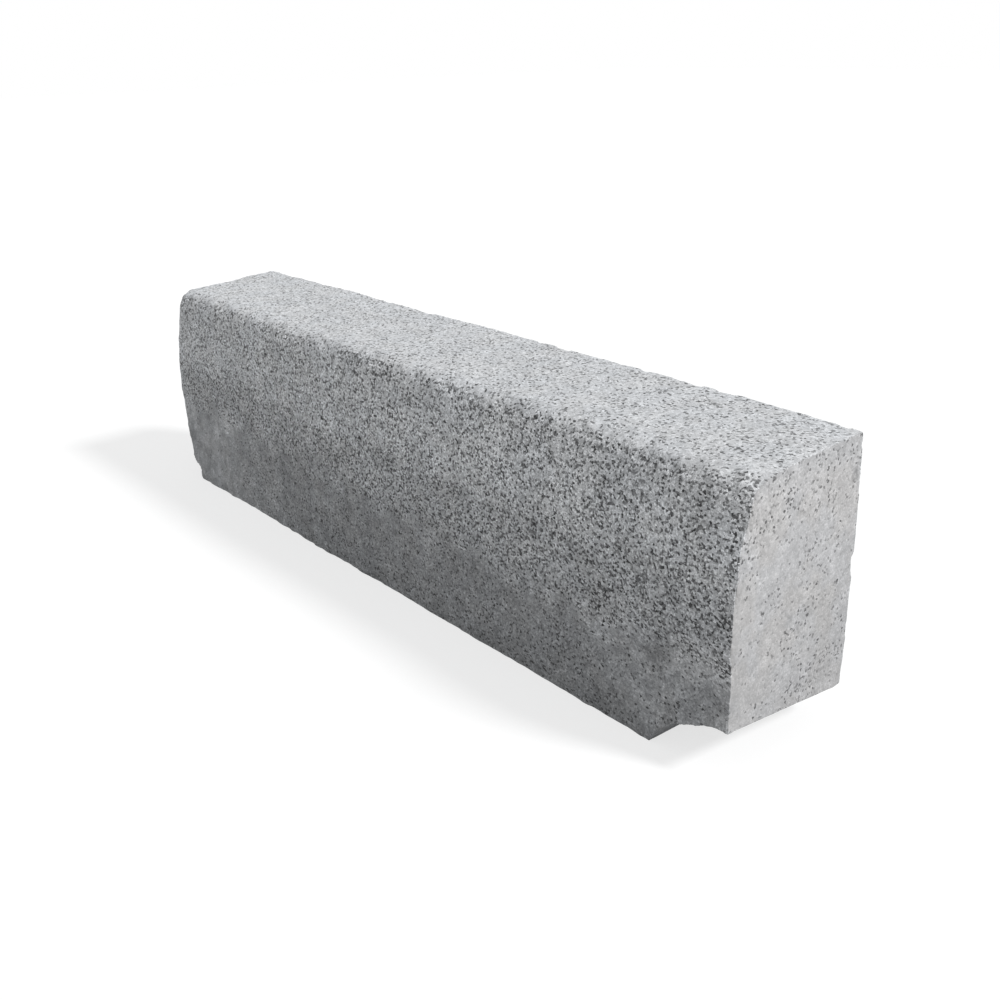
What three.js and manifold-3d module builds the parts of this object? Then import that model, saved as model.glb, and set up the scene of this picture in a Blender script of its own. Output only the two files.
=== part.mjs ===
// Granite kerb stone: one piece, split from the block, with its road face and top dressed by hand.
//
// Millimetres, +Z up. X runs along the kerb, from the split end (-X) to the dressed end (+X).
// Y runs across it, from the road face (-Y) to the back (+Y).
// The origin is the centre of the stone's outline on plan, on the bedding face.

import * as THREE from 'three';
import { ImprovedNoise } from 'three/addons/math/ImprovedNoise.js';
import { mergeVertices } from 'three/addons/utils/BufferGeometryUtils.js';
import Module from 'manifold-3d';

// Overall size
const LENGTH = 1000; // from the dressed end to the mean plane of the split end
const WIDTH = 155; // front to back, at the bedding face
const HEIGHT = 270; // at the back, the higher side

// Section
const TOP_FALL = 11; // the top drops this much towards the road
const BAND_DEPTH = 150; // the worked band of the road face, down from the front arris
const BAND_BATTER = 9; // the band leans back this much
const RAW_BATTER = 4; // and so does the raw face under it
const FRONT_ARRIS = 15; // how far the rounded front arris cuts into the top and the band
const BACK_ARRIS = 4;
const FOOT_ARRIS = 4; // both long edges of the bedding face
const FACE_WAVE = 2.5; // a dressed face is out of true by up to about this much
const FACE_WAVE_SPAN = 190; // and one swell of it is about this long
const TOP_CROWN = 1.5; // the back arris rises this much halfway along

// Dressed end, the joint face that meets the next kerb
const DRESSED_ARRIS = 2;
const ARRIS_WEAR = 3; // the front arris is worn down this much more here than halfway along
const ARRIS_WEAR_WIDTH = 38; // across the top
const ARRIS_RUB = 5.5; // and it is rubbed back this much towards this end
const ARRIS_RUB_REACH = 550; // along the stone, and in full over the last third of that
const ARRIS_RUB_DEPTH = 85; // down the band
const ARRIS_RUB_WIDTH = 53; // across the top
const CORNER_RUB = 4; // the corner of the end is rubbed back this much more
const CORNER_RUB_REACH = 54; // along the stone

// Split end
const SPLIT_BULGE = 15; // how far the belly of the end stands out past its mean plane
const BELLY_HEIGHT = 150; // the height of the belly over the bedding face
const BELLY_HALF_SPAN = 85; // above and below the belly, where the end crosses its mean plane
const BELLY_FULLNESS = 1.5; // the power of its curve: 1 is a ridge, 2 a parabola
const SPLIT_ARRIS = 9;
const SPLIT_ROUGHNESS = 7;
const SPLIT_ROUGHNESS_SPAN = 48;
const SPLIT_REACH = 90; // how far along the stone the split's shape fades into the true section

// The foot of the stone is broken away under the dressed end, and chipped at the split end.
const BREAK_REACH = 85; // along the stone
const BREAK_RISE_FRONT = 49; // over the bedding face, at the end of the stone
const BREAK_RISE_BACK = 36;
const CHIP_REACH = 40;
const CHIP_RISE_FRONT = 34;
const CHIP_RISE_BACK = 9;
const BREAK_ROUGHNESS = 5; // halfway out; a break comes out straight at the end of the stone
const BREAK_ROUGHNESS_SPAN = 22;

// Facets
const STATION_STEP = 32; // along the stone
const OUTLINE_STEP = 19; // round the section
const ARRIS_STEPS = 4;
const SPLIT_RINGS = 6;
const BREAK_STEP = 9;

const OVERSHOOT = 20; // how far a cutting body reaches past what it cuts

const wasm = await Module();
wasm.setup();

const perlin = new ImprovedNoise();

// Smooth unevenness of about +-height at a point, with swells about one span long.
function unevenness(point, span, height, seed) {
  return height * perlin.noise(point.x / span + seed, point.y / span, point.z / span);
}

// The section of the true kerb, as points (y, z), counter-clockwise seen from the dressed end.
function sectionOutline() {
  const front = -WIDTH / 2;
  const back = WIDTH / 2;
  const bandFront = front + RAW_BATTER;
  const topFront = bandFront + BAND_BATTER;
  const fallPerMm = TOP_FALL / (back - topFront);
  const topAt = (y) => HEIGHT - (back - y) * fallPerMm;
  const bandFoot = topAt(topFront) - BAND_DEPTH;
  const bandAt = (z) => bandFront + (BAND_BATTER * (z - bandFoot)) / BAND_DEPTH;
  const rawAt = (z) => front + (RAW_BATTER * z) / bandFoot;
  const bandTop = topAt(topFront) - FRONT_ARRIS;

  const outline = new THREE.Path();
  outline.moveTo(front + FOOT_ARRIS, 0);
  outline.lineTo(back - FOOT_ARRIS, 0);
  outline.quadraticCurveTo(back, 0, back, FOOT_ARRIS);
  outline.lineTo(back, HEIGHT - BACK_ARRIS);
  outline.quadraticCurveTo(back, HEIGHT, back - BACK_ARRIS, topAt(back - BACK_ARRIS));
  outline.lineTo(topFront + FRONT_ARRIS, topAt(topFront + FRONT_ARRIS));
  outline.quadraticCurveTo(topFront, topAt(topFront), bandAt(bandTop), bandTop);
  outline.lineTo(bandFront, bandFoot);
  outline.lineTo(rawAt(FOOT_ARRIS), FOOT_ARRIS);
  outline.quadraticCurveTo(front, 0, front + FOOT_ARRIS, 0);

  return outline.curves.flatMap((curve) => {
    const steps = curve.isLineCurve ? Math.ceil(curve.getLength() / OUTLINE_STEP) : ARRIS_STEPS;
    return curve.getSpacedPoints(steps).slice(1);
  });
}

// A ring of the stone at x: the section drawn in on every side by inset.
function ring(outline, x, inset) {
  return outline.map(({ x: y, y: z }) => {
    const drawnY = y * (1 - inset / (WIDTH / 2));
    const drawnZ = HEIGHT / 2 + (z - HEIGHT / 2) * (1 - inset / (HEIGHT / 2));
    return new THREE.Vector3(x, drawnY, drawnZ);
  });
}

// The rings that round the arris of an end face, from the end inwards.
function arrisRings(outline, endX, inwards, radius) {
  return Array.from({ length: ARRIS_STEPS }, (_, i) => {
    const angle = (i / ARRIS_STEPS) * (Math.PI / 2);
    return ring(outline, endX + inwards * radius * (1 - Math.cos(angle)), radius * (1 - Math.sin(angle)));
  });
}

// The rings of an end face, from its outline (drawn in by inset) to just short of its middle.
function faceRings(outline, endX, inset, count) {
  return Array.from({ length: count - 1 }, (_, i) => {
    const share = 1 - (i + 1) / count;
    return ring(outline, endX, inset).map(({ x, y, z }) =>
      new THREE.Vector3(x, y * share, HEIGHT / 2 + (z - HEIGHT / 2) * share));
  });
}

// A closed skin over rings of equal length, with a fan from a middle point at each end.
function loft(rings) {
  const count = rings[0].length;
  const middle = (points) =>
    points.reduce((sum, p) => sum.add(p), new THREE.Vector3()).divideScalar(count);
  const vertices = [middle(rings[0]), ...rings.flat(), middle(rings.at(-1))];
  const at = (i, j) => 1 + i * count + (j % count);
  const last = vertices.length - 1;
  const index = [];
  for (let j = 0; j < count; j++) {
    index.push(0, at(0, j + 1), at(0, j));
    for (let i = 0; i < rings.length - 1; i++) {
      index.push(at(i, j), at(i, j + 1), at(i + 1, j));
      index.push(at(i, j + 1), at(i + 1, j + 1), at(i + 1, j));
    }
    index.push(last, at(rings.length - 1, j), at(rings.length - 1, j + 1));
  }
  return new THREE.BufferGeometry().setFromPoints(vertices).setIndex(index);
}

// How far the split end stands in from (+) or out past (-) its mean plane, at height z.
function bellyOffset(z) {
  const fromBelly = Math.abs(z - BELLY_HEIGHT) / BELLY_HALF_SPAN;
  return -SPLIT_BULGE * (1 - fromBelly ** BELLY_FULLNESS);
}

// How far a point is rubbed back from the road, near the front arris towards the dressed end.
function rubBack(point, fromFront) {
  const { smoothstep } = THREE.MathUtils;
  const nearX = LENGTH / 2;
  const along = ARRIS_RUB * smoothstep(point.x, nearX - ARRIS_RUB_REACH, nearX - ARRIS_RUB_REACH / 3)
    + CORNER_RUB * smoothstep(point.x, nearX - CORNER_RUB_REACH, nearX);
  const up = smoothstep(point.z, HEIGHT - ARRIS_RUB_DEPTH, HEIGHT - FRONT_ARRIS);
  return along * up * (1 - smoothstep(fromFront, 0, ARRIS_RUB_WIDTH));
}

// Moves a point of the true kerb to where the mason left it.
function hew(point) {
  const fromSplit = point.x + LENGTH / 2;
  const split = 1 - THREE.MathUtils.smoothstep(fromSplit, 0, SPLIT_REACH);
  const overFoot = THREE.MathUtils.smoothstep(point.z, 0, HEIGHT / 4);
  const dressed = 1 - THREE.MathUtils.smoothstep(LENGTH / 2 - point.x, 0, SPLIT_REACH);
  const wave = FACE_WAVE * (1 - dressed);
  const fromFront = point.y + WIDTH / 2 - RAW_BATTER - BAND_BATTER;
  const wear = ARRIS_WEAR * THREE.MathUtils.smoothstep(point.x, 0, LENGTH / 2)
    * (1 - THREE.MathUtils.smoothstep(fromFront, 0, ARRIS_WEAR_WIDTH));
  const crown = TOP_CROWN * Math.cos((Math.PI * point.x) / LENGTH)
    * THREE.MathUtils.smoothstep(point.y, 0, WIDTH / 2);
  return new THREE.Vector3(
    point.x + split * (bellyOffset(point.z)
      + unevenness(point, SPLIT_ROUGHNESS_SPAN, SPLIT_ROUGHNESS, 3.7)),
    point.y + rubBack(point, fromFront) + unevenness(point, FACE_WAVE_SPAN, wave, 11.3),
    point.z + overFoot * (crown - wear + unevenness(point, FACE_WAVE_SPAN, wave, 29.1)),
  );
}

function blockGeometry() {
  const outline = sectionOutline();
  const farX = -LENGTH / 2;
  const nearX = LENGTH / 2;
  const bodyFrom = farX + SPLIT_ARRIS;
  const bodyTo = nearX - DRESSED_ARRIS;
  const stations = Math.ceil((bodyTo - bodyFrom) / STATION_STEP);
  const body = Array.from({ length: stations + 1 }, (_, i) =>
    ring(outline, THREE.MathUtils.lerp(bodyFrom, bodyTo, i / stations), 0));
  const rings = [
    ...faceRings(outline, farX, SPLIT_ARRIS, SPLIT_RINGS).reverse(),
    ...arrisRings(outline, farX, 1, SPLIT_ARRIS),
    ...body,
    ...arrisRings(outline, nearX, -1, DRESSED_ARRIS).reverse(),
  ];
  return loft(rings.map((points) => points.map(hew)));
}

// The body that a broken foot leaves empty. It rises steeply from the bedding face, levels off
// and comes out at the end of the stone; towards points from the stone's middle to that end.
function footBreakGeometry(towards, reach, riseFront, riseBack) {
  const length = reach + 2 * OVERSHOOT;
  const width = WIDTH + 2 * OVERSHOOT;
  const lengthSteps = Math.ceil(length / BREAK_STEP);
  const widthSteps = Math.ceil(width / BREAK_STEP);
  const body = new THREE.BoxGeometry(length, width, OVERSHOOT, lengthSteps, widthSteps, 1);
  const innerX = LENGTH / 2 - reach;
  const position = body.attributes.position;
  const point = new THREE.Vector3();
  for (let i = 0; i < position.count; i++) {
    point.fromBufferAttribute(position, i);
    point.x = innerX + point.x + length / 2 - OVERSHOOT;
    const share = (point.x - innerX) / reach;
    const across = THREE.MathUtils.clamp(point.y / WIDTH + 0.5, 0, 1);
    const rise = THREE.MathUtils.lerp(riseFront, riseBack, across);
    const inside = THREE.MathUtils.clamp(share, 0, 1);
    const climb = share < 0 ? share : 1 - (1 - inside) ** 2;
    const ragged = BREAK_ROUGHNESS * Math.sin(Math.PI * inside);
    const rough = unevenness(point, BREAK_ROUGHNESS_SPAN, ragged, towards);
    const roof = Math.max(rise * climb + rough, -OVERSHOOT / 2);
    point.z = point.z > 0 ? roof : -OVERSHOOT;
    position.setXYZ(i, point.x, point.y, point.z);
  }
  if (towards < 0) body.rotateZ(Math.PI);
  return body;
}

function toSolid(geometry) {
  const bare = geometry.clone();
  bare.deleteAttribute('normal');
  bare.deleteAttribute('uv');
  const merged = mergeVertices(bare);
  return new wasm.Manifold(new wasm.Mesh({
    numProp: 3,
    vertProperties: merged.attributes.position.array,
    triVerts: new Uint32Array(merged.index.array),
  }));
}

function toGeometry(solid) {
  const mesh = solid.getMesh();
  const geometry = new THREE.BufferGeometry();
  geometry.setAttribute('position', new THREE.BufferAttribute(mesh.vertProperties, 3));
  geometry.setIndex(new THREE.BufferAttribute(mesh.triVerts, 1));
  return geometry;
}

// Moves the stone so that its outline on plan is centred on the origin.
function centredOnPlan(geometry) {
  geometry.computeBoundingBox();
  const centre = geometry.boundingBox.getCenter(new THREE.Vector3());
  geometry.translate(-centre.x, -centre.y, 0);
  geometry.computeVertexNormals();
  return geometry;
}

const granite = new THREE.MeshStandardMaterial({ color: 0x9fa1a3, roughness: 0.9, metalness: 0 });

// The chip's body is made for the dressed end and turned half round, so its front lies at the back.
const stoneSolid = toSolid(blockGeometry())
  .subtract(toSolid(footBreakGeometry(1, BREAK_REACH, BREAK_RISE_FRONT, BREAK_RISE_BACK)))
  .subtract(toSolid(footBreakGeometry(-1, CHIP_REACH, CHIP_RISE_BACK, CHIP_RISE_FRONT)));

const stone = new THREE.Mesh(centredOnPlan(toGeometry(stoneSolid)), granite);
stone.name = 'kerb_stone';

const kerb = new THREE.Group();
kerb.add(stone);

export default kerb;
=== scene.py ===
"""The looks of a granite kerb stone: its worn arrises and worked faces as one dense mesh over
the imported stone, its granite, a pale floor, soft light and the camera. Lengths are in metres,
but for those that a comment gives in mm.

A ramp is written (from, to) where it climbs from 0 to 1, and (from, to, before, after) where it
runs between other values. A hump is written (start, peak, end)."""

import math

import bpy
import numpy as np
from mathutils import Matrix, Vector, noise


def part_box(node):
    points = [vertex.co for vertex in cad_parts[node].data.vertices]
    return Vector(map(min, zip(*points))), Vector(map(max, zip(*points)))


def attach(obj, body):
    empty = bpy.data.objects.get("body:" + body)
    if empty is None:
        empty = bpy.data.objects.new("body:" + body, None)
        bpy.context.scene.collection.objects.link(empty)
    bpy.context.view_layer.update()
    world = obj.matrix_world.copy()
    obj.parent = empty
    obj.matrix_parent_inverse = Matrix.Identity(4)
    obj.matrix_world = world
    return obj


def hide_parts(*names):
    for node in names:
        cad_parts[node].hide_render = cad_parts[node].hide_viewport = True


MM = 0.001

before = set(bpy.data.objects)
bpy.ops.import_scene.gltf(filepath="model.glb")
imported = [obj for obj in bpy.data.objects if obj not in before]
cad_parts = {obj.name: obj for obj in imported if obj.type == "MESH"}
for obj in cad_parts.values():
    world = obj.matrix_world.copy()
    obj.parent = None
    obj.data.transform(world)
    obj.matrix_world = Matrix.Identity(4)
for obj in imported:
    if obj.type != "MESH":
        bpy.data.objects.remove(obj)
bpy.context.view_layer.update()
LOW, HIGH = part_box("kerb_stone")

# The camera stands off the dressed end, on the road side, and looks down at the stone.
CAMERA_PLACE = Vector((1019.59, -706.29, 571.02)) * MM
CAMERA_AZIMUTH = 51.623  # degrees, from looking along +Y towards looking along -X
CAMERA_ELEVATION = 21.763
CAMERA_ROLL = -1.495
LENS = 41.679
SENSOR = 36.0

# Light
SKY = 0.45
SKY_COLOUR = (0.985, 0.993, 1.0, 1)
KEY = 0.85
KEY_ANGLE = 10  # degrees across, as seen from the stone
KEY_TOWARDS = Vector((0.675, 0.285, 0.681))
WHITE = (1, 1, 1, 1)
FLOOR_GREY = (0.6, 0.6, 0.6, 1)
FLOOR_HALF = 15.0
FLOOR_GLOW = 1.06
FLOOR_GLOW_SHARE = 0.66

# The worked band of the road face: how high its lower edge lies over the middle of the stone,
# and how much higher that edge is for each metre towards the dressed end. On the back it is level.
BAND_EDGE = 102 * MM
BAND_SLOPE = -14 * MM
BACK_BAND_EDGE = 205 * MM


# ---------------------------------------------------------------- the stone's mesh

REMESH_DEPTH = 9
REMESH_SCALE = 0.632
CELL = 3.16 * MM  # about the size of a cell of the dense copy
SHARP_EDGE = 38  # degrees between faces

# How often points and normals are evened out with their neighbours'
FACING_ROUNDS = 6
WORN_ROUNDS = 24
ROUNDED_ROUNDS = 30

# Ramps on one part of the normal, which tell the faces and arrises from each other
UNWORKED_END = (0.6, 0.9)
UNWORKED_SPLIT_END = (0.5, 0.8)
RUBBED_SPLIT_END = (0.3, 0.7)
FLAT_END = (0.75, 0.95)
ARRIS_LEAN = (0.1, 0.4)
CRISP_FOOT_LEAN_OUT = (0.2, 0.5)
CRISP_FOOT_LEAN_DOWN = (0.05, 0.3)

# Ramps on the height over the band's edge, and along Y to where the crisp foot stops
BAND_EDGE_BLUR = (-12 * MM, 12 * MM)
CRISP_FOOT_STOPS = (62 * MM, 76 * MM)

# The corners that are worn round, and how much. The wear fades out over the reach.
WORN_CORNERS = (((LOW[0], LOW[1], HIGH[2]), 0.6), ((LOW[0], HIGH[1], HIGH[2]), 1.0),
                ((HIGH[0], HIGH[1], HIGH[2]), 0.12), ((HIGH[0], HIGH[1], 36 * MM), 0.1))
CORNER_REACH = (4 * MM, 34 * MM)

# How much is rubbed off an edge: any edge, and what is added at the split end, along the front
# arris, along it towards the dressed end, where the arris is chipped, and at the worn corners
RUB = {"any": 0.06, "split_end": 0.22, "front_arris": 0.45, "near_end": 0.55, "chips": 0.38,
       "corners": 0.5}
ROUNDED_ARRIS = 0.6
ROUNDED_ARRIS_STOPS = (430 * MM, 500 * MM)

# Chips lie where swells reach over a level. Each swell has its span, seed and share.
CHIP_SWELLS = ((21 * MM, 1, 1.0), (9 * MM, 2, 0.5))
CHIP_LEVEL = (0.05, 0.45)
SEED_SHIFT = (17.3, 5.9, 11.1)  # how far each seed moves the noise, in spans

# The relief in mm on each part of the stone, in coarse, medium and fine swells, and the swells'
# spans and seeds
SWELLS = ((42 * MM, 3), (15 * MM, 4), (7 * MM, 5))
RELIEF = {
    "worked": (0.35, 0.40, 0.55),
    "raw": (0.70, 0.35, 0.20),
    "end": (0.20, 0.12, 0.12),
    "front_arris": (0.0, 1.1, 0.6),
    "front_foot": (0.0, 1.4, 0.0),
}
CRISP_FOOT_PROUD = 1.0

# The rim of the broken foot against the smooth sweep of the break, in mm: a steep lip, a dip
# next to the dressed end, and a fall at the back corner
RIM_LIP = (424, 437, 474)
RIM_LIP_RISE = 7.0
RIM_DIP = (466, 486, 508)
RIM_DIP_FALL = 2.2
RIM_RUNS_BACK = (-45, 0)
RIM_CORNER_X = (470, 505)
RIM_CORNER_Y = (52, 80)
RIM_CORNER_FALL = 1.4
RIM_FADES_UP = (45, 85)
RIM_OVER_BED = (0.5, 3)

# Waves of the back next to the dressed end, in mm, by height
BACK_WAVE = (132, 163, 200)
BACK_WAVE_SWELL = 1.1
BACK_TOP = (205, 235)
BACK_TOP_HOLLOW = 1.3
BACK_FOOT = (100, 135)
BACK_FOOT_HOLLOW = 1.1
BACK_WAVES_X = (380, 480)
BACK_WAVES_Y = (30, 78)

# The fuller road face next to the dressed end, in mm. At the arris it starts further along.
FRONT_FULL = (92, 128)
FRONT_FULL_SWELL = 5.0
FRONT_CROWN = (185, 208, 240)
FRONT_CROWN_SWELL = 2.0
FRONT_FULL_X = (330, 470)
FRONT_FULL_Y = (-62, -10)
FRONT_ARRIS = (225, 262)
FRONT_ARRIS_X = (440, 485)

# The hollow along the foot of the road face, in mm
FOOT_HOLLOW = 1.6
FOOT_HOLLOW_X = (150, 265, 400)
FOOT_HOLLOW_UP = (3, 20)


def dense_copy(node, name):
    """A dense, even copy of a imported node."""
    piece = bpy.data.objects.new(name, node.data.copy())
    bpy.context.scene.collection.objects.link(piece)
    remesh = piece.modifiers.new("remesh", "REMESH")
    remesh.mode = "SHARP"
    remesh.octree_depth = REMESH_DEPTH
    remesh.scale = REMESH_SCALE
    evaluated = piece.evaluated_get(bpy.context.evaluated_depsgraph_get())
    mesh = bpy.data.meshes.new_from_object(evaluated)
    piece.modifiers.clear()
    piece.data = mesh
    mesh.name = name
    return piece


def read_points(mesh):
    flat = np.empty(len(mesh.vertices) * 3, np.float32)
    mesh.vertices.foreach_get("co", flat)
    return flat.reshape(-1, 3).astype(float)


def read_normals(mesh):
    flat = np.empty(len(mesh.vertices) * 3, np.float32)
    mesh.vertex_normals.foreach_get("vector", flat)
    return flat.reshape(-1, 3).astype(float)


def read_edges(mesh):
    flat = np.empty(len(mesh.edges) * 2, np.int64)
    mesh.edges.foreach_get("vertices", flat)
    return flat.reshape(-1, 2)


def smoothed(values, edges, rounds):
    """Values at the vertices, evened out with their neighbours' a number of times."""
    count = len(values)
    ends = np.concatenate([edges[:, 0], edges[:, 1]])
    others = np.concatenate([edges[:, 1], edges[:, 0]])
    degree = np.bincount(ends, minlength=count)[:, None]
    for _ in range(rounds):
        around = np.stack(
            [np.bincount(ends, weights=values[others, axis], minlength=count) for axis in range(3)], 1)
        values = 0.5 * values + 0.5 * around / degree
    return values


def swells(points, span, seed):
    """Smooth noise in -1..1 at the points, with swells about one span long."""
    shift = Vector([seed * part for part in SEED_SHIFT])
    return np.array([noise.noise(Vector(p) / span + shift) for p in points])


def step(low, high, values):
    t = np.clip((values - low) / (high - low), 0, 1)
    return t * t * (3 - 2 * t)


def hump(start, peak, end, values):
    return step(start, peak, values) * (1 - step(peak, end, values))


def worked_share(points, facing):
    """1 where the stone is bush-hammered, 0 where it was left as split."""
    edge = np.where(facing[:, 1] < 0, BAND_EDGE + BAND_SLOPE * points[:, 0], BACK_BAND_EDGE)
    over_edge = step(*BAND_EDGE_BLUR, points[:, 2] - edge)
    end = step(*UNWORKED_END, facing[:, 0])
    split = step(*UNWORKED_SPLIT_END, -facing[:, 0])
    return over_edge * (1 - end) * (1 - split)


def along_front_arris(facing):
    """1 on the arris between the road face and the top."""
    return step(*ARRIS_LEAN, -facing[:, 1]) * step(*ARRIS_LEAN, facing[:, 2])


def along_front_foot(facing):
    """1 on the lower edge of the road face."""
    return step(*ARRIS_LEAN, -facing[:, 1]) * step(*ARRIS_LEAN, -facing[:, 2])


def along_crisp_foot(points, facing):
    """1 along the foot of the dressed end, which is left crisp as far as its back corner."""
    foot = step(*CRISP_FOOT_LEAN_OUT, facing[:, 0]) * step(*CRISP_FOOT_LEAN_DOWN, -facing[:, 2])
    return foot * (1 - step(*CRISP_FOOT_STOPS, points[:, 1]))


def worn_corners(points):
    """How far each point shares in the wear of the corners."""
    return sum(share * (1 - step(*CORNER_REACH, np.linalg.norm(points - Vector(place), axis=1)))
               for place, share in WORN_CORNERS)


def rubbed(points, edges, facing):
    """The points after the edges and corners are rubbed off."""
    worn = smoothed(points, edges, WORN_ROUNDS)
    rounded = smoothed(worn, edges, ROUNDED_ROUNDS)
    chips = step(*CHIP_LEVEL, sum(share * swells(points, span, seed)
                                  for span, seed, share in CHIP_SWELLS))
    split = step(*RUBBED_SPLIT_END, -facing[:, 0])
    near_end = step(0, HIGH[0], points[:, 0])
    arris = along_front_arris(facing)
    corners = worn_corners(points)
    rub = (RUB["any"] + RUB["split_end"] * split + RUB["chips"] * chips + RUB["corners"] * corners
           + arris * (RUB["front_arris"] + RUB["near_end"] * near_end))
    wear = np.clip(rub * (1 - along_crisp_foot(points, facing)), 0, 1)
    shaped = points + wear[:, None] * (worn - points)
    arris_share = ROUNDED_ARRIS * arris * wear * (1 - step(*ROUNDED_ARRIS_STOPS, points[:, 0]))
    return shaped + np.clip(arris_share + corners, 0, 1)[:, None] * (rounded - worn)


def relief(points, facing):
    """How far the working of each face and the ragged edges stand out."""
    worked = worked_share(points, facing)
    end = step(*FLAT_END, facing[:, 0])
    crisp = along_crisp_foot(points, facing)
    shares = {
        "worked": worked,
        "raw": (1 - worked - end) * (1 - crisp),
        "end": end,
        "front_arris": along_front_arris(facing),
        "front_foot": along_front_foot(facing),
    }
    height = CRISP_FOOT_PROUD * crisp
    for size, (span, seed) in enumerate(SWELLS):
        swell = swells(points, span, seed)
        for part, share in shares.items():
            height = height + RELIEF[part][size] * share * swell
    return height * MM


def broken_rim(points):
    """How far the rim of the broken foot lies over the smooth sweep of the break."""
    x, y, z = points.T / MM
    rise = RIM_LIP_RISE * hump(*RIM_LIP, x) - RIM_DIP_FALL * hump(*RIM_DIP, x)
    rise *= 1 - step(*RIM_RUNS_BACK, y)
    rise -= RIM_CORNER_FALL * step(*RIM_CORNER_X, x) * step(*RIM_CORNER_Y, y)
    return rise * (1 - step(*RIM_FADES_UP, z)) * step(*RIM_OVER_BED, z) * MM


def back_waves(points):
    """How far the back swells out next to the dressed end."""
    x, y, z = points.T / MM
    swell = (BACK_WAVE_SWELL * hump(*BACK_WAVE, z) - BACK_TOP_HOLLOW * step(*BACK_TOP, z)
             - BACK_FOOT_HOLLOW * (1 - step(*BACK_FOOT, z)))
    return swell * step(*BACK_WAVES_X, x) * step(*BACK_WAVES_Y, y) * MM


def full_front(points):
    """How far the road face stands out next to the dressed end, and back along its foot."""
    x, y, z = points.T / MM
    swell = FRONT_FULL_SWELL * step(*FRONT_FULL, z) + FRONT_CROWN_SWELL * hump(*FRONT_CROWN, z)
    at_arris = step(*FRONT_ARRIS, z)
    start = FRONT_FULL_X[0] + (FRONT_ARRIS_X[0] - FRONT_FULL_X[0]) * at_arris
    end = FRONT_FULL_X[1] + (FRONT_ARRIS_X[1] - FRONT_FULL_X[1]) * at_arris
    hollow = FOOT_HOLLOW * hump(*FOOT_HOLLOW_X, x) * (1 - step(*FOOT_HOLLOW_UP, z))
    return (swell * step(start, end, x) - hollow) * (1 - step(*FRONT_FULL_Y, y)) * MM


def weather(piece):
    """Wears the arrises and gives each face the relief that its working left."""
    mesh = piece.data
    points = read_points(mesh)
    edges = read_edges(mesh)
    facing = smoothed(read_normals(mesh), edges, FACING_ROUNDS)
    facing /= np.linalg.norm(facing, axis=1)[:, None]
    on_bed = points[:, 2] < 0.5 * CELL

    shaped = rubbed(points, edges, facing)
    shaped += relief(points, facing)[:, None] * facing
    shaped[:, 2] += broken_rim(points)
    shaped[:, 1] += back_waves(points) - full_front(points)
    shaped[on_bed, 2] = 0
    shaped[:, 2] = np.maximum(shaped[:, 2], 0)

    mesh.vertices.foreach_set("co", shaped.astype(np.float32).ravel())
    mesh.attributes.new("facing", "FLOAT_VECTOR", "POINT").data.foreach_set(
        "vector", facing.astype(np.float32).ravel())
    mesh.polygons.foreach_set("use_smooth", np.ones(len(mesh.polygons), bool))
    mesh.set_sharp_from_angle(angle=math.radians(SHARP_EDGE))
    mesh.update()


# ---------------------------------------------------------------- materials

class Shader:
    """A material's node tree, written as sums."""

    def __init__(self, owner, output="ShaderNodeOutputMaterial"):
        owner.use_nodes = True
        self.owner = owner
        self.tree = owner.node_tree
        self.tree.nodes.clear()
        self.output = self.add(output)

    def add(self, kind, **settings):
        made = self.tree.nodes.new(kind)
        for key, value in settings.items():
            setattr(made, key, value)
        return made

    def put(self, socket, value):
        if isinstance(value, bpy.types.NodeSocket):
            self.tree.links.new(value, socket)
        else:
            socket.default_value = value

    def math(self, operation, a, b=0.0):
        made = self.add("ShaderNodeMath", operation=operation)
        self.put(made.inputs[0], a)
        self.put(made.inputs[1], b)
        return made.outputs[0]

    def sum(self, first, *others):
        for other in others:
            first = self.math("ADD", first, other)
        return first

    def times(self, first, *others):
        for other in others:
            first = self.math("MULTIPLY", first, other)
        return first

    def most(self, first, *others):
        for other in others:
            first = self.math("MAXIMUM", first, other)
        return first

    def rest(self, share):
        return self.math("SUBTRACT", 1, share)

    def vector(self, operation, a, b, output=0):
        made = self.add("ShaderNodeVectorMath", operation=operation)
        self.put(made.inputs[0], a)
        self.put(made.inputs[1], b)
        return made.outputs[output]

    def scaled(self, vector, scale):
        made = self.add("ShaderNodeVectorMath", operation="SCALE")
        self.put(made.inputs[0], vector)
        self.put(made.inputs["Scale"], scale)
        return made.outputs[0]

    def parts(self, kind, whole):
        made = self.add(kind)
        self.put(made.inputs[0], whole)
        return made.outputs

    def step(self, value, low, high, start=0.0, end=1.0):
        made = self.add("ShaderNodeMapRange", interpolation_type="SMOOTHSTEP")
        for socket, given in zip(made.inputs, (value, low, high, start, end)):
            self.put(socket, given)
        return made.outputs[0]

    def blend(self, share, a, b):
        made = self.add("ShaderNodeMix", data_type="FLOAT")
        for socket, given in zip((made.inputs[0], made.inputs[2], made.inputs[3]), (share, a, b)):
            self.put(socket, given)
        return made.outputs[0]

    def tint(self, share, a, b, kind="MIX"):
        made = self.add("ShaderNodeMix", data_type="RGBA", blend_type=kind)
        for socket, given in zip((made.inputs[0], made.inputs[6], made.inputs[7]), (share, a, b)):
            self.put(socket, given)
        return made.outputs[2]

    def noise(self, place, span, detail=2.0, roughness=0.5, output="Fac"):
        made = self.add("ShaderNodeTexNoise")
        self.put(made.inputs["Vector"], place)
        made.inputs["Scale"].default_value = 1 / span
        made.inputs["Detail"].default_value = detail
        made.inputs["Roughness"].default_value = roughness
        return made.outputs[output]

    def seen(self):
        """1 for rays from the camera, reflections and transmission, 0 for light."""
        rays = self.add("ShaderNodeLightPath").outputs
        return self.most(rays["Is Camera Ray"], rays["Is Glossy Ray"], rays["Is Transmission Ray"])


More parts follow.
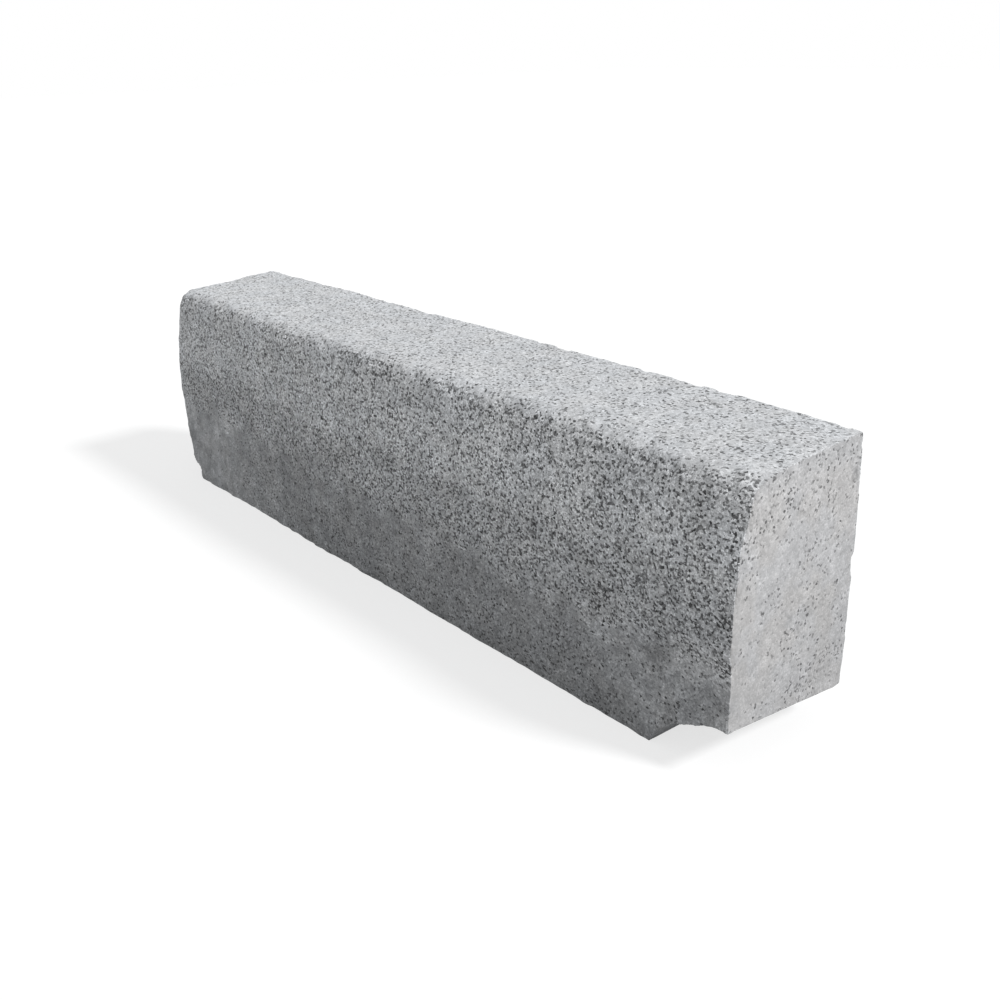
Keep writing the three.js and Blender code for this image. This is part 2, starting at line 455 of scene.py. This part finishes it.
# How each working of the granite looks: the worked band, the raw stone, the top and the dressed
# end. "tone" is how pale the stone is. "mica" is the share of dark grains, "depth" is how dark
# they are, and "cluster" and "patch" say how unevenly they lie. The rest say how strong each kind
# of unevenness is.
LOOKS = {
    "tone": {"band": 0.668, "raw": 0.332, "top": 0.627, "end": 0.484},
    "mica": {"band": 0.294, "raw": 0.142, "top": 0.188, "end": 0.08},
    "depth": {"band": 0.756, "raw": 0.78, "top": 0.70, "end": 0.62},
    "cluster": {"band": 0.753, "raw": 0.5, "top": 0.246, "end": 0.337},
    "patch": {"band": 0.2, "raw": 0.2, "top": 0.15, "end": 0.52},
    "crystal": {"band": 0.546, "raw": 0.62, "top": 0.371, "end": 0.25},
    "fine": {"band": 0.475, "raw": 0.4, "top": 0.219, "end": 0.163},
    "bump": {"band": 1.1, "raw": 0.201, "top": 0.226, "end": 0.3},
    "mottle": {"band": 0.15, "raw": 0.688, "top": 0.08, "end": 0.125},
    "blotch": {"band": 0.2, "raw": 1.0, "top": 0.188, "end": 0.562},
    "clouds": {"band": 0.104, "raw": 0.119, "top": 0.048, "end": 0.062},
}

# The noises of the granite: span, detail and roughness
NOISES = {
    "fine": (1.3 * MM, 2, 0.6),
    "bend": (2.2 * MM, 1, 0.5),
    "bump": (5 * MM, 3, 0.6),
    "jitter": (7 * MM, 4, 0.65),
    "cluster": (8.125 * MM, 2, 0.6),
    "blotch": (13 * MM, 2, 0.6),
    "patch": (26 * MM, 2, 0.5),
    "mottle": (30 * MM, 4, 0.6),
    "warm": (38 * MM, 2, 0.5),
    "broad": (60 * MM, 3, 0.55),
}

NOISE_GAIN = 4  # brings a fine or broad noise to about -1..1

# Grain
GRAIN = 1.95 * MM
GRAIN_BEND = 1.5 * MM
ALONG_GRAIN = (1 / 1.13, 1.0, 1.0)
MEAN_LIGHT = 0.33
MICA_SOFT = 0.203
MICA_UNEVEN = 0.625
MICA_DARKEST = 0.94
ROUGH = 0.85
MICA_ROUGH = 0.6
SPECULAR = 0.3

# Which face is which, by the way it faces, and the worked band by the height over its edge
END_FACES = (0.66, 0.78)
SPLIT_END_FACES = (-0.75, -0.5, 1.0, 0.0)
BACK_FACES = (-0.1, 0.1)
TOP_FACES = (0.50, 0.85)
BAND_STARTS = (-14 * MM, 12 * MM)

# How pale the worked stone is: from the band's edge, and again from higher up
PALE_LOW = (-26 * MM, 24 * MM)
PALE_LOW_SHARE = 0.62
PALE_HIGH = (143 * MM, 173 * MM)
PALE_HIGH_SHARE = 0.38
PALE_SPLIT_END = 0.7

# Quiet places, where the grain is faint and mica is rare: the raw foot of the road face towards
# its ends, and a strip and a waist of the dressed end
QUIET = 0.36
QUIET_MICA = 0.15
QUIET_LEFT = (-400 * MM, -250 * MM, 1.0, 0.0)
QUIET_RIGHT = (300 * MM, 420 * MM, 0.0, 0.4)
QUIET_STRIP_Y = (-54 * MM, -32 * MM, 1.0, 0.0)
QUIET_STRIP_Z = (150 * MM, 190 * MM, 0.7, 0.0)
QUIET_WAIST_STARTS = (140 * MM, 155 * MM)
QUIET_WAIST_STOPS = (200 * MM, 220 * MM, 0.2, 0.0)
QUIET_FOOT_MOTTLE = 0.5
QUIET_FOOT_BLOTCH = 0.15

# More mica: under the top of the dressed end, by its front arris, and low in the worked band
MICA_UNDER_TOP = (232 * MM, 264 * MM, 0.0, 0.055)
MICA_BY_ARRIS_Y = (-68 * MM, -36 * MM, 0.09, 0.0)
MICA_BY_ARRIS_Z = (160 * MM, 200 * MM)
MICA_LOW_BAND = 0.07

# The low part of the road face is paler towards both ends and along its foot. Along the foot it is
# painted light, which lifts the shade there.
LOW_FACE = (85 * MM, 135 * MM, 1.0, 0.0)
LOW_PALE_LEFT = (-450 * MM, -90 * MM, 0.16, 0.0)
LOW_PALE_RIGHT = (360 * MM, 480 * MM, 0.0, 0.10)
LOW_MOTTLE = -0.4
FOOT_PAINTED_LIGHT_X = (-300 * MM, 0, 0.20, 0.04)
FOOT_PAINTED_LIGHT_Z = (8 * MM, 55 * MM, 1.0, 0.0)

# The band is darker next to the dressed end: painted shade where it turns from the key. The
# arris between top and band is paler where it starts to turn up: painted light. The arris over
# the dressed end is a little darker: painted shade that dims the key's highlight along it. That
# end darkens towards its foot
BAND_PAINTED_SHADE_RIGHT = (300 * MM, 420 * MM, 0.0, -0.055)
TOP_ARRIS_PAINTED_LIGHT_FROM = (0.02, 0.2)
TOP_ARRIS_PAINTED_LIGHT_TO = (0.3, 0.6, 0.1, 0.0)
END_ARRIS_PAINTED_SHADE = (0.05, 0.35, 1.0, 0.94)
END_DARK_FOOT = (40 * MM, 220 * MM, 0.84, 1.0)

# Tints: the stone is cool in two shades, and the dressed end is cool at its top and in patches
COOL = (0.986, 1.0, 1.020, 1)
COOLER = (0.978, 1.0, 1.030, 1)
END_COOL = (0.992, 0.994, 1.010, 1)
END_WARM = (1.008, 0.996, 0.994, 1)
WARM_PATCHES = (0.4, 0.6)
END_WARM_STARTS = (60 * MM, 110 * MM, 0.6, 1)
END_WARM_STOPS = (236 * MM, 262 * MM, 1.0, 0.1)

# Dark grains and stains that stand out: place and radius in mm, and share of the light they take
SPOTS = (
    ((502, -51, 252), 3.0, 0.75),
    ((502, -47, 255), 2.4, 0.65),
    ((509, -37, 257), 2.4, 0.6),
    ((509, 68, 232), 6.0, 0.3),
    ((509, 69, 238), 4.0, 0.25),
    ((76, -77, 112), 2.8, 0.6),
)
SPOT_EDGE = (0.5, 1.2)  # times its radius

# Bump in the granite: the fall to a crystal's edge, the fall of mica, and the skin's relief
BUMP_CRYSTAL = -0.5 * MM
BUMP_MICA = -0.3 * MM
BUMP_SKIN = 1.6 * MM


class Granite(Shader):
    """The granite of the stone. It changes from face to face and with the way it was worked."""

    def __init__(self):
        super().__init__(bpy.data.materials.new("granite"))
        self.place = self.add("ShaderNodeTexCoord").outputs["Object"]
        self.x, self.y, self.z = self.parts("ShaderNodeSeparateXYZ", self.place)
        facing = self.add("ShaderNodeAttribute", attribute_name="facing").outputs["Vector"]
        self.towards_end, self.towards_back, self.up = self.parts("ShaderNodeSeparateXYZ", facing)
        self.jitter = self.swing("jitter")
        self.mottle = self.swing("mottle")
        self.broad = self.swing("broad")
        self.find_faces()
        self.find_working()
        self.find_quiet()
        self.find_grain()
        self.find_mica()
        self.finish()

    def swing(self, name, place=None):
        """A noise of NOISES, about 0."""
        place = self.place if place is None else place
        return self.math("SUBTRACT", self.noise(place, *NOISES[name]), 0.5)

    def ragged(self, value, jitter=0.0, mottle=0.0, broad=0.0):
        """A value moved to and fro by noise, so that the edge it gives is ragged."""
        for swing, reach in ((self.jitter, jitter), (self.mottle, mottle), (self.broad, broad)):
            if reach:
                value = self.sum(value, self.times(swing, reach))
        return value

    def uneven(self, swing, *shares):
        """A factor about 1 that follows a noise."""
        return self.sum(1, self.times(swing, *shares))

    def by_working(self, name, worked=None):
        """A value of LOOKS, blended between the zones of the stone."""
        look = LOOKS[name]
        worked = self.worked if worked is None else worked
        hammered = self.blend(self.top, look["band"], look["top"])
        return self.blend(self.end, self.blend(worked, look["raw"], hammered), look["end"])

    def find_faces(self):
        """Which face is which, as shares from 0 to 1 that blend at the arrises."""
        self.end = self.step(self.ragged(self.towards_end, jitter=0.3), *END_FACES)
        self.not_end = self.rest(self.end)
        self.split_end = self.step(self.ragged(self.towards_end, jitter=0.4), *SPLIT_END_FACES)
        self.sides = self.math("SUBTRACT", self.not_end, self.split_end)
        self.back = self.step(self.towards_back, *BACK_FACES)
        self.top = self.step(self.ragged(self.up, jitter=0.9), *TOP_FACES)

    def find_working(self):
        """Where the stone was worked, and how pale it is there."""
        front_edge = self.sum(self.times(self.x, BAND_SLOPE), BAND_EDGE)
        edge = self.blend(self.back, front_edge, BACK_BAND_EDGE)
        over_edge = self.math("SUBTRACT", self.z, edge)
        patchy = self.ragged(over_edge, jitter=40 * MM, broad=50 * MM)
        band = self.times(self.step(patchy, *BAND_STARTS), self.not_end)
        self.worked = self.most(band, self.split_end)

        low = self.step(self.ragged(over_edge, jitter=40 * MM, mottle=70 * MM), *PALE_LOW)
        self.high = self.step(self.ragged(self.z, jitter=30 * MM, mottle=40 * MM), *PALE_HIGH)
        pale = self.sum(self.times(self.high, PALE_HIGH_SHARE), self.times(low, PALE_LOW_SHARE))
        self.pale = self.blend(self.split_end, self.times(pale, self.not_end), PALE_SPLIT_END)

    def find_quiet(self):
        """The places where the grain is faint."""
        along = self.ragged(self.x, broad=160 * MM, mottle=120 * MM)
        by_ends = self.sum(self.step(along, *QUIET_LEFT), self.step(along, *QUIET_RIGHT))
        self.quiet_foot = self.times(
            by_ends, self.sides, self.rest(self.worked), self.rest(self.back))
        strip = self.times(self.end, self.step(self.z, *QUIET_STRIP_Z),
                           self.step(self.ragged(self.y, mottle=60 * MM), *QUIET_STRIP_Y))
        waist = self.times(self.end, self.step(self.z, *QUIET_WAIST_STARTS),
                           self.step(self.z, *QUIET_WAIST_STOPS))
        self.quiet = self.most(self.quiet_foot, strip, waist)
        self.loud = self.rest(self.times(self.quiet, QUIET))

    def find_grain(self):
        """Crystals, each with lots drawn for its mica, its light and how dark its mica is."""
        bend = self.vector(
            "SUBTRACT", self.noise(self.place, *NOISES["bend"], "Color"), (0.5, 0.5, 0.5))
        self.bent = self.vector("ADD", self.place, self.scaled(bend, GRAIN_BEND))
        cell = self.add("ShaderNodeTexVoronoi")
        self.put(cell.inputs["Vector"], self.vector("MULTIPLY", self.bent, ALONG_GRAIN))
        cell.inputs["Scale"].default_value = 1 / GRAIN
        self.off_centre = cell.outputs["Distance"]
        self.lots = self.parts("ShaderNodeSeparateColor", cell.outputs["Color"])

    def find_mica(self):
        """Dark mica, which comes in strings and clusters."""
        under_top = self.times(self.end, self.step(self.z, *MICA_UNDER_TOP))
        by_arris = self.times(self.end, self.step(self.y, *MICA_BY_ARRIS_Y),
                              self.step(self.z, *MICA_BY_ARRIS_Z))
        low_band = self.math("SUBTRACT", self.worked, self.times(self.high, self.not_end))
        share = self.sum(self.by_working("mica"), under_top, by_arris,
                         self.times(low_band, MICA_LOW_BAND),
                         self.times(self.swing("cluster"), self.by_working("cluster")),
                         self.times(self.swing("patch"), self.by_working("patch")),
                         self.times(self.quiet, -QUIET_MICA))
        over = self.math("SUBTRACT", share, self.lots[0])
        self.mica = self.step(over, -0.5 * MICA_SOFT, 0.5 * MICA_SOFT)

    def grain_light(self):
        """How the crystals and the mica change the light that the stone gives back."""
        light = self.math("SUBTRACT", self.math("POWER", self.lots[1], 2.0), MEAN_LIGHT)
        fine = self.swing("fine", self.vector("MULTIPLY", self.place, ALONG_GRAIN))
        unlike = self.sum(1 - 0.5 * MICA_UNEVEN, self.times(self.lots[2], MICA_UNEVEN))
        taken = self.times(self.mica, self.by_working("depth"), unlike)
        return self.times(self.uneven(light, self.by_working("crystal"), self.loud),
                          self.uneven(fine, NOISE_GAIN, self.by_working("fine"), self.loud),
                          self.rest(self.math("MINIMUM", taken, MICA_DARKEST)))

    def patchiness(self):
        """Clouds, mottling and blotches, which are larger than the grain."""
        more_mottle = self.times(self.quiet_foot, QUIET_FOOT_MOTTLE)
        more_blotch = self.times(self.quiet_foot, QUIET_FOOT_BLOTCH)
        mottling = self.sum(self.by_working("mottle"), more_mottle)
        blotching = self.sum(self.by_working("blotch"), more_blotch)
        return self.times(self.uneven(self.broad, NOISE_GAIN, self.by_working("clouds")),
                          self.uneven(self.mottle, mottling),
                          self.uneven(self.swing("blotch"), blotching))

    def face_light(self):
        """How each face gets darker or paler towards its edges, partly as painted light and shade."""
        low = self.step(self.z, *LOW_FACE)
        # Painted light along the foot of the road face, which lifts the shade there
        foot = self.times(self.step(self.x, *FOOT_PAINTED_LIGHT_X), self.step(self.z, *FOOT_PAINTED_LIGHT_Z))
        paler = self.sum(self.step(self.x, *LOW_PALE_LEFT), self.step(self.x, *LOW_PALE_RIGHT),
                         foot, self.times(self.mottle, LOW_MOTTLE))
        low_face = self.sum(1, self.times(paler, low, self.sides))
        on_band = self.times(self.sides, self.rest(low), self.rest(self.top))
        # Painted shade on the band next to the dressed end, where it turns from the key
        near_end = self.sum(1, self.times(self.step(self.x, *BAND_PAINTED_SHADE_RIGHT), on_band))
        # Painted light where the arris between band and top starts to turn up
        top_arris_painted_light = self.sum(1, self.times(self.step(self.up, *TOP_ARRIS_PAINTED_LIGHT_FROM),
                                           self.step(self.up, *TOP_ARRIS_PAINTED_LIGHT_TO), self.not_end))
        # Painted shade over the arris of the dressed end, which dims the key's highlight there
        end_arris_painted_shade = self.step(self.times(self.towards_end, self.up), *END_ARRIS_PAINTED_SHADE)
        end_foot = self.blend(self.end, 1.0, self.step(self.z, *END_DARK_FOOT))
        return self.times(low_face, near_end, top_arris_painted_light, end_arris_painted_shade, end_foot)

    def with_spots(self, value):
        """The value, darkened at each of SPOTS."""
        for centre, radius, share in SPOTS:
            away = self.vector("DISTANCE", self.bent, [c * MM for c in centre], "Value")
            inner, outer = (edge * radius * MM for edge in SPOT_EDGE)
            value = self.times(value, self.step(away, inner, outer, 1 - share, 1.0))
        return value

    def tinted(self, value):
        """The value as a colour."""
        warm = self.step(self.noise(self.place, *NOISES["warm"]), *WARM_PATCHES)
        end_warm = self.times(warm, self.step(self.z, *END_WARM_STOPS),
                              self.step(self.z, *END_WARM_STARTS))
        colour = self.tint(self.end, self.tint(warm, COOLER, COOL),
                           self.tint(end_warm, END_COOL, END_WARM))
        return self.tint(1.0, colour, value, "MULTIPLY")

    def bump(self):
        """The normal, with the relief of the crystals, the mica and the skin."""
        height = self.sum(self.times(self.off_centre, BUMP_CRYSTAL),
                          self.times(self.mica, BUMP_MICA),
                          self.times(self.noise(self.place, *NOISES["bump"]), BUMP_SKIN))
        made = self.add("ShaderNodeBump")
        made.inputs["Distance"].default_value = 1.0
        self.put(made.inputs["Strength"], self.by_working("bump"))
        self.put(made.inputs["Height"], height)
        return made.outputs[0]

    def finish(self):
        """Puts the surface together."""
        tone = self.by_working("tone", self.pale)
        value = self.times(tone, self.patchiness(), self.grain_light(), self.face_light())
        surface = self.add("ShaderNodeBsdfPrincipled")
        self.put(surface.inputs["Base Color"], self.tinted(self.with_spots(value)))
        self.put(surface.inputs["Roughness"], self.blend(self.mica, ROUGH, MICA_ROUGH))
        surface.inputs["Specular IOR Level"].default_value = SPECULAR
        self.put(surface.inputs["Normal"], self.bump())
        self.put(self.output.inputs["Surface"], surface.outputs[0])


def pale_floor():
    """White where it is seen, with a light shadow. To the light it is a plain light grey."""
    sh = Shader(bpy.data.materials.new("pale_floor"))
    seen = sh.seen()
    diffuse = sh.add("ShaderNodeBsdfDiffuse")
    sh.put(diffuse.inputs["Color"], sh.tint(seen, FLOOR_GREY, WHITE))
    glow = sh.add("ShaderNodeEmission")
    glow.inputs["Strength"].default_value = FLOOR_GLOW
    mix = sh.add("ShaderNodeMixShader")
    sh.put(mix.inputs[0], sh.times(seen, FLOOR_GLOW_SHARE))
    sh.put(mix.inputs[1], diffuse.outputs[0])
    sh.put(mix.inputs[2], glow.outputs[0])
    sh.put(sh.output.inputs["Surface"], mix.outputs[0])
    return sh.owner


# ---------------------------------------------------------------- the scene

def add_stone():
    stone = dense_copy(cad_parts["kerb_stone"], "granite_kerb")
    weather(stone)
    stone.data.materials.clear()
    stone.data.materials.append(Granite().owner)
    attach(stone, "root")
    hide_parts("kerb_stone")


def add_floor():
    half = FLOOR_HALF
    mesh = bpy.data.meshes.new("floor")
    mesh.from_pydata([(-half, -half, 0), (half, -half, 0), (half, half, 0), (-half, half, 0)],
                     [], [(0, 1, 2, 3)])
    mesh.materials.append(pale_floor())
    floor = bpy.data.objects.new("floor", mesh)
    bpy.context.scene.collection.objects.link(floor)


def add_world():
    """Soft light from all round, and white where it is seen."""
    world = bpy.data.worlds.new("studio")
    bpy.context.scene.world = world
    sh = Shader(world, "ShaderNodeOutputWorld")
    fill = sh.add("ShaderNodeBackground")
    fill.inputs["Color"].default_value = SKY_COLOUR
    fill.inputs["Strength"].default_value = SKY
    white = sh.add("ShaderNodeBackground")
    white.inputs["Color"].default_value = WHITE
    mix = sh.add("ShaderNodeMixShader")
    sh.put(mix.inputs[0], sh.seen())
    sh.put(mix.inputs[1], fill.outputs[0])
    sh.put(mix.inputs[2], white.outputs[0])
    sh.put(sh.output.inputs["Surface"], mix.outputs[0])


def add_key():
    lamp = bpy.data.lights.new("key", "SUN")
    lamp.energy = KEY * math.pi
    lamp.angle = math.radians(KEY_ANGLE)
    key = bpy.data.objects.new("key", lamp)
    key.rotation_euler = KEY_TOWARDS.to_track_quat("Z", "Y").to_euler()
    bpy.context.scene.collection.objects.link(key)


def add_camera():
    lens = bpy.data.cameras.new("camera")
    lens.lens = LENS
    lens.sensor_width = SENSOR
    camera = bpy.data.objects.new("camera", lens)
    camera.matrix_world = (Matrix.Translation(CAMERA_PLACE)
                           @ Matrix.Rotation(math.radians(CAMERA_AZIMUTH), 4, "Z")
                           @ Matrix.Rotation(math.radians(90 - CAMERA_ELEVATION), 4, "X")
                           @ Matrix.Rotation(math.radians(CAMERA_ROLL), 4, "Z"))
    bpy.context.scene.collection.objects.link(camera)
    bpy.context.scene.camera = camera


add_stone()
add_floor()
add_world()
add_key()
add_camera()
bpy.context.scene.view_settings.view_transform = "Standard"
